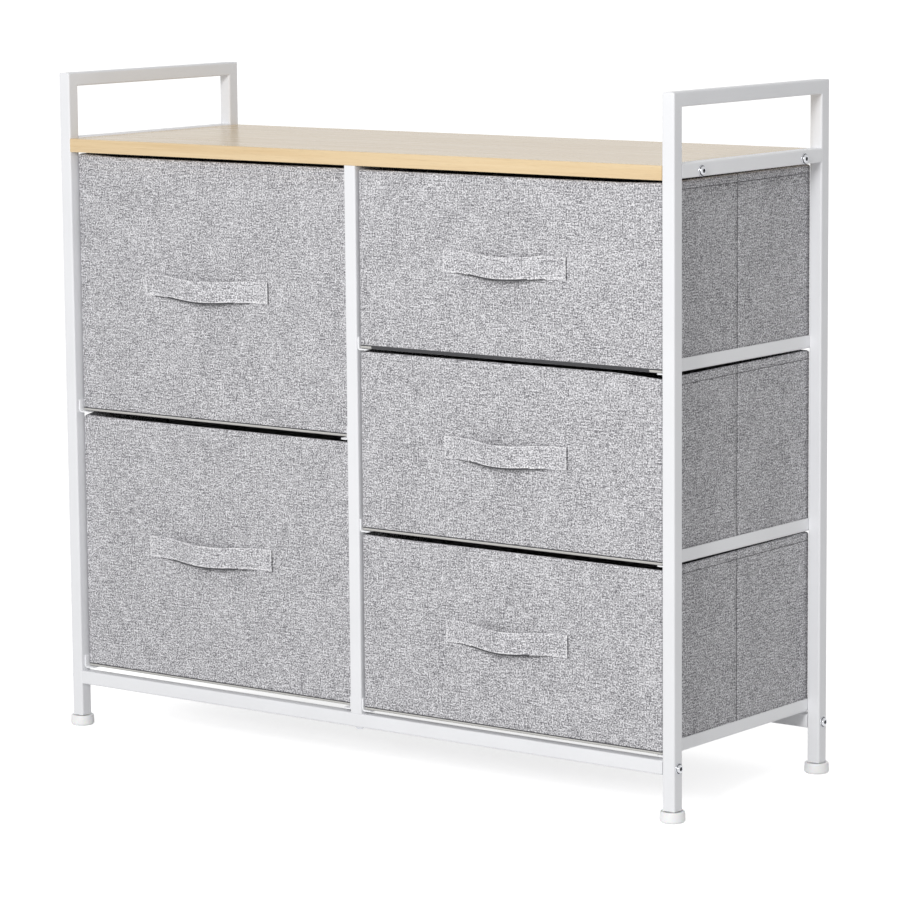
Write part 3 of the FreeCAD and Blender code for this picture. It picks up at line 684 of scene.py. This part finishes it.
def button_bolt():
    """A flanged button-head bolt along +Z with its head's underside at z = 0."""
    dome = [(0.0025, -BOLT_HEAD)] + arc((0.0029, -0.0015), 0.0017, 270, 350, 6)
    groove = [(0.0047, -0.0006), (0.0051, -0.0006), (0.0053, -0.0010)]
    flange = [(0.0057, -0.0009), (0.0059, -0.0005), (0.0059, 0.0)]
    shank = [(0.003, 0.0), (0.003, 0.0288), (0.0023, 0.03), (0.0, 0.03)]
    bolt = turn_profile(dome + groove + flange + shank, 36)

    # the hexagon socket: its mouth, a chamfer, its walls and its pointed floor
    for vert in bolt.verts:
        if abs(vert.co.z + BOLT_HEAD) < SAME_POINT and vert.co.xy.length < 0.0026:
            angle = math.atan2(vert.co.y, vert.co.x)
            reach = SOCKET_REACH / math.cos((angle + math.pi / 6) % (math.pi / 3) - math.pi / 6)
            vert.co.xy = Vector((math.cos(angle), math.sin(angle))) * reach
    rim = [e for e in bolt.edges if e.is_boundary]
    for depth, narrowing in ((0.00015, 0.94), (0.0019, 1.0), (0.0005, 0.02)):
        rim, verts = pull_edges(bolt, rim)
        bmesh.ops.scale(bolt, vec=(narrowing, narrowing, 1), verts=verts)
        bmesh.ops.translate(bolt, vec=(0, 0, depth), verts=verts)
    bmesh.ops.holes_fill(bolt, edges=rim, sides=0)
    bmesh.ops.recalc_face_normals(bolt, faces=bolt.faces[:])
    # painted shade: faces in the socket and in the groove round the dome take the near-black finish
    for face in bolt.faces:
        at = face.calc_center_median()
        in_socket_shade = at.xy.length < 0.0023 and -0.0031 < at.z < 0
        in_groove_shade = 0.0045 < at.xy.length < 0.0053 and -0.0009 < at.z < -0.0004
        face.material_index = int(in_socket_shade or in_groove_shade)
    return bolt


class DRESSER_OT_bolts(bpy.types.Operator):
    """Turn the domed bolts in the crossbars, posts and bottom rails"""

    bl_idname = "dresser.bolts"
    bl_label = "Bolts"

    def execute(self, context):
        for node in ("board_bolts", "rail_bolts"):
            low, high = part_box(node)
            head, height = high.x - BOLT_HEAD, (low.z + high.z) / 2
            places = []
            for side in (-1, 1):
                turn = Matrix.Rotation(math.radians(-90 * side), 4, "Y")
                for y in (low.y + BOLT_HEAD_RADIUS, high.y - BOLT_HEAD_RADIUS):
                    places.append(Matrix.Translation((side * head, y, height)) @ turn)
            self.fit(node, places)
        low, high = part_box("centre_post_bolts")
        places = [
            Matrix.Translation(((low.x + high.x) / 2, y, low.z + BOLT_HEAD))
            for y in (low.y + BOLT_HEAD_RADIUS, high.y - BOLT_HEAD_RADIUS)
        ]
        self.fit("centre_post_bolts", places)
        return {"FINISHED"}

    def fit(self, node, places):
        bolts = bmesh.new()
        add_copies(bolts, button_bolt(), places)
        finishes = ["bright_bolt_plating", "painted_shade_bolt_socket"]
        make_piece(f"turned_{node}", bolts, finishes, "frame", [node], 50)


class DRESSER_OT_feet(bpy.types.Operator):
    """Turn the levelling feet, each with its dished top and screw"""

    bl_idname = "dresser.feet"
    bl_label = "Levelling feet"

    def execute(self, context):
        finishes = ["white_moulded_plastic", "dull_zinc_plating"]
        for name in FEET:
            node = f"{name}_foot"
            low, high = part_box(node)
            base, tip = (high.x - low.x) / 2, high.z
            sole = [(0.0, 0.0004), (base - 0.0041, 0.0004), (base - 0.0036, 0.0)]
            flare = arc((base - 0.0032, 0.0032), 0.0032, -90, 8, 7)
            shoulder = arc((0.0116, 0.0106), 0.0013, 10, 120, 6)
            dish = [(0.0104, 0.0114), (0.0098, 0.0104), (0.0064, 0.0100), (0.0042, 0.0102)]
            screw = [(0.003, 0.0106), (0.003, tip - 0.001), (0.0022, tip), (0.0, tip)]
            foot = turn_profile(sole + flare + shoulder + dish + screw, 48)
            bmesh.ops.recalc_face_normals(foot, faces=foot.faces[:])
            for face in foot.faces:
                at = face.calc_center_median()
                face.material_index = int(at.z > 0.0107 and at.xy.length < 0.004)
            middle = ((low.x + high.x) / 2, (low.y + high.y) / 2, 0)
            bmesh.ops.translate(foot, vec=middle, verts=foot.verts[:])
            piece = f"{name}_levelling_foot"
            make_piece(piece, foot, finishes, node, [node], 40)
        return {"FINISHED"}


# ---- Drawers ----


# into a bin from its left, right, front and rear wall
INWARDS = Vector((1, 0, 0)), Vector((-1, 0, 0)), Vector((0, 1, 0)), Vector((0, -1, 0))


def gaps_to_walls(at, low, high):
    return at.x - low.x, high.x - at.x, at.y - low.y, high.y - at.y


def sew_bin(low, high, cloth, seed):
    """The cloth of one bin: four walls, a bottom, and a hem rolled over the rim and down inside."""
    half = cloth.thickness / 2
    low, high = low + Vector((half, half, half)), high - Vector((half, half, half))
    roll = (cloth.hem_offset - half) / 2
    mesh = block(low, Vector((high.x, high.y, high.z - roll)))
    top = [f for f in mesh.faces if f.normal.z > 0.9]
    bmesh.ops.delete(mesh, geom=top, context="FACES_ONLY")
    round_edges(mesh, [e for e in mesh.edges if not e.is_boundary], cloth.corner_radius)
    lay_grid(mesh, low, high, cloth)
    roll_hem(mesh, low, high, roll, cloth)
    bmesh.ops.recalc_face_normals(mesh, faces=mesh.faces[:])
    front = min(mesh.faces, key=lambda f: f.calc_center_median().y)
    if front.normal.y > 0:
        bmesh.ops.reverse_faces(mesh, faces=mesh.faces[:])
    mark_lines(mesh, low, high, cloth)
    lay_cloth_map(mesh)
    pull_cloth(mesh, low, high, cloth, seed)
    return mesh


def lay_grid(mesh, low, high, cloth):
    """Cuts the walls into a grid, with rows and columns of their own for seams and fold lines."""
    middle = (low + high) / 2
    edge = cloth.corner_radius + GRID_MARGIN
    slice_at(mesh, 0, spread(low.x + edge, high.x - edge, cloth.grid_step))
    columns = [
        y
        for y in spread(low.y + edge, high.y - edge, cloth.grid_step)
        if abs(y - middle.y) > cloth.crease_width * 0.6
    ]
    creases = [middle.y + cloth.crease_width * part for part in (-0.5, -0.3, 0.3, 0.5)]
    slice_at(mesh, 1, columns + creases)
    seam, sunk = low.z + cloth.binding_height, cloth.seam_height
    stitched, line = high.z - cloth.hem_line, cloth.line_width / 2
    sewn = [seam, seam + sunk / 2, seam + sunk]
    sewn += [stitched + step for step in (-PUCKER, -line, 0, line, PUCKER)]
    sewn.append(high.z - cloth.rim_line)
    plain = [
        z
        for z in spread(low.z + edge, high.z - ROW_GAP, cloth.grid_step)
        if min(abs(z - row) for row in sewn) > ROW_GAP
    ]
    slice_at(mesh, 2, sewn + plain)


def roll_hem(mesh, low, high, roll, cloth):
    """Carries the rim's cloth over in a half circle, then down inside."""
    middle, size = (low + high) / 2, high - low
    ring = [e for e in mesh.edges if e.is_boundary]
    steps = [
        (roll * (1 - math.cos(angle)), roll * math.sin(angle))
        for angle in (math.pi * i / 6 for i in range(1, 7))
    ]
    steps += [(2 * roll, -down) for down in (*HEM_ROWS, cloth.hem_depth - 0.003)]
    sideways, climb = 0.0, 0.0
    for inwards, up in steps:
        ring, verts = pull_edges(mesh, ring)
        shrink = [(side / 2 - inwards) / (side / 2 - sideways) for side in size.xy]
        bmesh.ops.scale(mesh, vec=(*shrink, 1), space=Matrix.Translation(-middle), verts=verts)
        bmesh.ops.translate(mesh, vec=(0, 0, up - climb), verts=verts)
        sideways, climb = inwards, up


def mark_lines(mesh, low, high, cloth):
    """Gives the binding and the seam over it their finishes, and paints shade on the side walls'
    stitched hem line and down the fold lines.
    """
    middle = (low + high) / 2
    seam, stitched = low.z + cloth.binding_height, high.z - cloth.hem_line
    for face in mesh.faces:
        at = face.calc_center_median()
        if min(gaps_to_walls(at, low, high)) >= cloth.corner_radius:
            continue
        in_seam = seam < at.z < seam + cloth.seam_height
        # painted shade on the side walls' hem line and down the fold lines
        in_hem_shade = abs(at.z - stitched) < cloth.line_width / 2 and abs(face.normal.x) > 0.7
        in_fold_shade = at.z > seam and abs(at.y - middle.y) < cloth.crease_width * 0.1
        if in_seam or in_hem_shade or in_fold_shade:
            face.material_index = DARK_AND_SHADE
        elif low.z + BINDING_FOOT < at.z < seam:
            face.material_index = PALE_AND_HIGHLIGHT


def lift_rim(mesh, low, high, name, cloth):
    """Lets a bin's rim sag and climb as its row of RIMS says; further down the cloth stays put."""
    front, rear, run = RIMS[name]
    for vert in mesh.verts:
        at = vert.co
        left, right = (max(0, 1 - abs(at.x - side) / cloth.rim_run) for side in (low.x, high.x))
        near, far = (
            row[1] + (row[0] - row[1]) * left + (row[2] - row[1]) * right for row in (front, rear)
        )
        back = between((at.y - low.y) * 1000 / run)
        height = between((at.z - high.z + RIM_REACH) / RIM_FADE)
        at.z += (near + (far - near) * back) / 1000 * height


def pull_cloth(mesh, low, high, cloth, seed):
    """Lets the walls sink a little towards the panels, and presses in seams and fold lines."""
    middle = (low + high) / 2
    seam, sunk = low.z + cloth.binding_height, cloth.seam_height
    stitched = high.z - cloth.hem_line
    for vert in mesh.verts:
        at = vert.co
        gaps = gaps_to_walls(at, low, high)
        wall = gaps.index(min(gaps))
        if gaps[wall] > ON_WALL or at.z < low.z + ON_WALL:
            continue
        inwards = INWARDS[wall]
        to_corner = min(gaps[:2] if inwards.y else gaps[2:])
        to_seam = max(0, min(at.z - seam - sunk, stitched - PUCKER - at.z))
        taut = min(1, to_corner / TAUT_SIDE, to_seam / TAUT_HEIGHT)
        wave = noise.noise(at * 24 + Vector((seed, 0, 0))) * 0.75
        wave += noise.noise(at * 60 + Vector((0, seed, 0))) * 0.45
        depth = cloth.slack * between(0.45 + wave) * taut
        across = abs(at.y - middle.y)
        if inwards.x and across < cloth.crease_width / 2:
            steep = min(1, (cloth.crease_width / 2 - across) / (cloth.crease_width * 0.2))
            depth += cloth.crease_depth * steep * between((at.z - seam) / FOLD_RUN)
        depth += cloth.seam_groove * max(0, 1 - abs(at.z - seam - sunk / 2) / (sunk / 2))
        if abs(at.z - stitched) < cloth.line_width:
            depth += HEM_GROOVE
        vert.co += inwards * depth


class DRESSER_OT_bins(bpy.types.Operator):
    """Sew the fabric bins, with their hems, seams, bindings and fold lines"""

    bl_idname = "dresser.bins"
    bl_label = "Fabric bins"

    def execute(self, context):
        cloth = context.scene.dresser_cloth
        finishes = ["grey_woven_fabric", "pale_binding", "dark_seam_and_painted_shade"]
        for number, name in enumerate(DRAWERS):
            shell, body = f"{name}_bin_shell", f"{name}_drawer"
            low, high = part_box(shell)
            mesh = sew_bin(low, high, cloth, 3.7 * (number + 1))
            if name == "top_right":
                # painted shade over the front binding of this bin
                self.shade_binding(mesh, low, high, cloth)
            lift_rim(mesh, low, high, name, cloth)
            piece = make_piece(
                f"{name}_fabric_bin", mesh, finishes, body, [shell], 55
            )
            wall = piece.modifiers.new("cloth thickness", "SOLIDIFY")
            wall.thickness = cloth.thickness
            wall.offset = 0
            wall.use_even_offset = True
            self.stitch(name, low, high, cloth)
        return {"FINISHED"}

    def shade_binding(self, mesh, low, high, cloth):
        """The binding in front is tucked under and lies in shade; painted shade covers it, so only
        its ends look pale.
        """
        for face in mesh.faces:
            at = face.calc_center_median()
            in_front = at.y - low.y < cloth.corner_radius and face.material_index == PALE_AND_HIGHLIGHT
            if in_front and low.x + cloth.pale_left < at.x < high.x - cloth.pale_right:
                face.material_index = DARK_AND_SHADE

    def stitch(self, name, low, high, cloth):
        """Stitches round the hem, outside and inside; on the side walls the lower row takes painted
        shade.
        """
        rows = bmesh.new()
        lift = cloth.thread * 0.25
        inset = cloth.hem_offset + cloth.thickness / 2
        hem = high.z - cloth.hem_line - cloth.thickness / 2
        crown = high.z - cloth.rim_line - cloth.thickness / 2
        for reach, way, z in (
            (lift - HEM_GROOVE, 1, hem),
            (lift, 1, crown),
            (-(inset + lift), -1, hem),
        ):
            left, right = low.x - reach, high.x + reach
            near, far = low.y - reach, high.y + reach
            end = STITCH_END + (inset if way < 0 else 0)
            for start, finish, out in (
                ((low.x + end, near), (high.x - end, near), (0, -1)),
                ((low.x + end, far), (high.x - end, far), (0, 1)),
                ((left, low.y + end), (left, high.y - end), (-1, 0)),
                ((right, low.y + end), (right, high.y - end), (1, 0)),
            ):
                outwards = Vector((*out, 0)) * way
                sew(rows, Vector((*start, z)), Vector((*finish, z)), outwards, cloth)
        for face in rows.faces:
            at = face.calc_center_median()
            # painted shade: the lower row on the side walls takes the near-black finish
            on_side = min(at.x - low.x, high.x - at.x) < ON_LINE
            face.material_index = int(on_side and abs(at.z - hem) < ON_LINE)
        lift_rim(rows, low, high, name, cloth)
        lay_cloth_map(rows)
        finishes, body = ["pale_thread", "dark_seam_and_painted_shade"], f"{name}_drawer"
        make_piece(f"{name}_hem_stitches", rows, finishes, body, sharp=180)


def strap_line(along, span, bow, flat):
    """How far the strap stands out at a place along it, and how much of its full bow that is."""
    part = between((min(along, span - along) - flat) / (span / 2 - flat))
    return bow * (0.5 - 0.5 * math.cos(math.pi * part)), part


def bow_strap(mesh, low, high, strap, seed):
    """Bends the flat strap out between its sewn ends, where it droops, cups and ripples."""
    span, core = high.x - low.x, high.y - strap.thickness / 2
    bow = (high.y - low.y) - strap.thickness - 0.0001
    for vert in mesh.verts:
        along = vert.co.x - low.x
        out, part = strap_line(along, span, bow, strap.flat)
        ahead, _ = strap_line(along + SLOPE_STEP, span, bow, strap.flat)
        slope = (ahead - out) / SLOPE_STEP
        depth = vert.co.y - core
        lean = 1 / math.sqrt(1 + slope * slope)
        tall = (vert.co.z - low.z) / (high.z - low.z) - 0.5
        ripple = STRAP_RIPPLE * noise.noise(Vector((along * 45, tall * 2, seed))) * part
        cup = STRAP_CUP * part * (0.25 - tall * tall) * 4
        vert.co.x += slope * lean * depth
        vert.co.y = core - out + depth * lean + ripple - cup + STRAP_CUP * part
        vert.co.z -= strap.droop * math.sin(math.pi / 2 * part) ** 2


class DRESSER_OT_straps(bpy.types.Operator):
    """Fold and sew the strap handles"""

    bl_idname = "dresser.straps"
    bl_label = "Strap handles"

    def execute(self, context):
        strap, cloth = context.scene.dresser_strap, context.scene.dresser_cloth
        finishes = ["grey_strap_fabric", "painted_highlight_strap_fold", "dark_seam_and_painted_shade"]
        for number, name in enumerate(DRAWERS):
            node, body = f"{name}_strap_handle", f"{name}_drawer"
            low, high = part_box(node)
            mesh = block(Vector((low.x, high.y - strap.thickness, low.z)), high)
            round_edges(mesh, [e for e in mesh.edges if is_long(e)], strap.thickness * 0.45)
            slice_at(mesh, 0, spread(low.x, high.x, STRAP_COLUMN))
            shaded, fold = low.z + strap.shade, strap.fold
            # rows for the painted shadow along the lower edge and the painted highlights on the
            # folds
            slice_at(mesh, 2, [shaded - strap.shade / 2, shaded, shaded + fold, high.z - fold])
            slice_at(mesh, 2, spread(shaded + fold, high.z - fold, STRAP_ROW))
            lay_cloth_map(mesh)
            self.mark_edges(mesh, low, high, strap)
            bow_strap(mesh, low, high, strap, number * 5.1)
            bmesh.ops.recalc_face_normals(mesh, faces=mesh.faces[:])
            make_piece(f"{name}_folded_strap", mesh, finishes, body, [node], 50)
            self.stitch(name, low, high, strap, cloth)
        return {"FINISHED"}

    def mark_edges(self, mesh, low, high, strap):
        """Painted highlights on the folds all round and near the ends, painted shade on the cut
        ends, and a painted shadow along the lower edge.
        """
        for face in mesh.faces:
            at = face.calc_center_median()
            from_end = min(at.x - low.x, high.x - at.x)
            shaded = min(at.x - low.x - strap.lit_left, high.x - strap.lit_right - at.x)
            tall = strap.shade if shaded > SHADE_TAPER else strap.shade / 2
            from_fold = min(at.z - (low.z + strap.shade), high.z - at.z)
            # painted shade on the cut ends and a painted shadow along the lower edge
            if from_end < ON_SIDE or (at.z < low.z + tall and shaded > 0):
                face.material_index = DARK_AND_SHADE
            elif from_fold < strap.fold or from_end < 0.002:
                face.material_index = PALE_AND_HIGHLIGHT

    def stitch(self, name, low, high, strap, cloth):
        """A sewn box at each end of the strap."""
        rows = bmesh.new()
        y = high.y - strap.thickness - cloth.thread * 0.2
        bottom, top = low.z + strap.margin, high.z - strap.margin
        for near, far in (
            (low.x + strap.margin, low.x + strap.flat - BOX_GAP),
            (high.x - strap.flat + BOX_GAP, high.x - strap.margin),
        ):
            turns = ((near, bottom), (far, bottom), (far, top), (near, top), (near, bottom))
            points = [Vector((x, y, z)) for x, z in turns]
            for start, finish in zip(points, points[1:]):
                sew(rows, start, finish, Vector((0, -1, 0)), cloth, strap.weight)
        lay_cloth_map(rows)
        piece, body = f"{name}_strap_stitches", f"{name}_drawer"
        make_piece(piece, rows, ["pale_thread"], body, sharp=180)


class DRESSER_OT_linings(bpy.types.Operator):
    """Cover the wall panels and base boards with felt"""

    bl_idname = "dresser.linings"
    bl_label = "Drawer linings"

    def execute(self, context):
        felt = "grey_felt_lining"
        for name in DRAWERS:
            node, body = f"{name}_wall_panels", f"{name}_drawer"
            dress((node, f"{name}_base_board"), felt)
            # the panels stand as much lower as the rim sags
            front, rear, _ = RIMS[name]
            sag = -min(front + rear) / 1000
            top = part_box(node)[1].z
            mesh = bmesh.new()
            mesh.from_mesh(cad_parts[node].data)
            bmesh.ops.remove_doubles(mesh, verts=mesh.verts[:], dist=SAME_POINT)
            for vert in mesh.verts:
                if vert.co.z > top - ON_LINE:
                    vert.co.z -= sag
            make_piece(f"{name}_felt_panels", mesh, [felt], body, [node])
        return {"FINISHED"}


# ---- Stage ----


class DRESSER_OT_stage(bpy.types.Operator):
    """Lay the floor, hang the lamp and set the camera"""

    bl_idname = "dresser.stage"
    bl_label = "Stage"

    def execute(self, context):
        stage, scene = context.scene.dresser_stage, context.scene
        scene.view_settings.view_transform = "Standard"
        self.light_world(scene, stage)
        self.lay_floor(stage)
        lamp = bpy.data.lights.new("front_lamp", "AREA")
        lamp.shape, lamp.energy = "RECTANGLE", stage.key
        lamp.size, lamp.size_y = LAMP_SIZE
        hung = new_object("front_lamp", lamp)
        hung.location = stage.lamp
        hung.rotation_euler = (LAMP_TARGET - hung.location).to_track_quat("-Z", "Y").to_euler()

        camera = bpy.data.cameras.new("camera")
        camera.lens, camera.sensor_width, camera.clip_end = stage.lens, 36, 50
        held = new_object("camera", camera)
        turn, tilt, roll = stage.aim
        held.matrix_world = (
            Matrix.Translation(stage.camera)
            @ Matrix.Rotation(turn, 4, "Z")
            @ Matrix.Rotation(math.pi / 2 + tilt, 4, "X")
            @ Matrix.Rotation(roll, 4, "Z")
        )
        scene.camera = held
        return {"FINISHED"}

    def seen_directly(self, tree):
        """1 for rays from the camera, in mirrors or through glass, 0 for light on the object."""
        ray = add_node(tree, "LightPath").outputs
        flag = calculate(tree, "MAXIMUM", ray["Is Camera Ray"], ray["Is Glossy Ray"])
        return calculate(tree, "MAXIMUM", flag, ray["Is Transmission Ray"])

    def light_world(self, scene, stage):
        scene.world = bpy.data.worlds.new("white_room")
        tree = empty_tree(scene.world)
        extra = times(tree, self.seen_directly(tree), 1 - stage.ambient)
        strength = plus(tree, extra, stage.ambient)
        room = add_node(tree, "Background", {"Color": (1, 1, 1, 1), "Strength": strength})
        add_node(tree, "OutputWorld", {0: room.outputs[0]})

    def lay_floor(self, stage):
        finish = bpy.data.materials.new("pale_floor")
        tree = empty_tree(finish)
        plain = add_node(tree, "BsdfDiffuse", {"Color": (*stage.floor, 1)})
        strength = times(tree, self.seen_directly(tree), stage.glow)
        glow = add_node(tree, "Emission", {"Color": (1, 1, 1, 1), "Strength": strength})
        both = add_node(tree, "AddShader", {0: plain.outputs[0], 1: glow.outputs[0]})
        add_node(tree, "OutputMaterial", {0: both.outputs[0]})
        mesh = bmesh.new()
        bmesh.ops.create_grid(mesh, x_segments=1, y_segments=1, size=30)
        data = new_data("floor", mesh)
        data.materials.append(finish)
        floor = new_object("floor", data)


class DRESSER_PT_panel(bpy.types.Panel):
    """Lists the dresser's pieces and settings"""

    bl_idname = "DRESSER_PT_panel"
    bl_label = "Fabric drawer dresser"
    bl_space_type = "VIEW_3D"
    bl_region_type = "UI"
    bl_category = "Dresser"

    def draw(self, context):
        for operator in OPERATORS:
            self.layout.operator(operator.bl_idname)
        for attribute, group in SETTINGS.items():
            box = self.layout.box()
            for name in group.__annotations__:
                box.prop(getattr(context.scene, attribute), name)


SETTINGS = {
    "dresser_cloth": DresserCloth,
    "dresser_strap": DresserStrap,
    "dresser_finish": DresserFinish,
    "dresser_stage": DresserStage,
}
OPERATORS = (
    DRESSER_OT_finishes,
    DRESSER_OT_steelwork,
    DRESSER_OT_board,
    DRESSER_OT_bolts,
    DRESSER_OT_feet,
    DRESSER_OT_bins,
    DRESSER_OT_straps,
    DRESSER_OT_linings,
    DRESSER_OT_stage,
)
CLASSES = (*SETTINGS.values(), *OPERATORS, DRESSER_PT_panel)


def register():
    for cls in CLASSES:
        bpy.utils.register_class(cls)
    for name, group in SETTINGS.items():
        setattr(bpy.types.Scene, name, PointerProperty(type=group))


def unregister():
    for name in SETTINGS:
        delattr(bpy.types.Scene, name)
    for cls in reversed(CLASSES):
        bpy.utils.unregister_class(cls)


def main():
    register()
    bpy.ops.dresser.finishes()
    bpy.ops.dresser.steelwork()
    bpy.ops.dresser.board()
    bpy.ops.dresser.bolts()
    bpy.ops.dresser.feet()
    bpy.ops.dresser.bins()
    bpy.ops.dresser.straps()
    bpy.ops.dresser.linings()
    bpy.ops.dresser.stage()


if __name__ == "__main__":
    main()
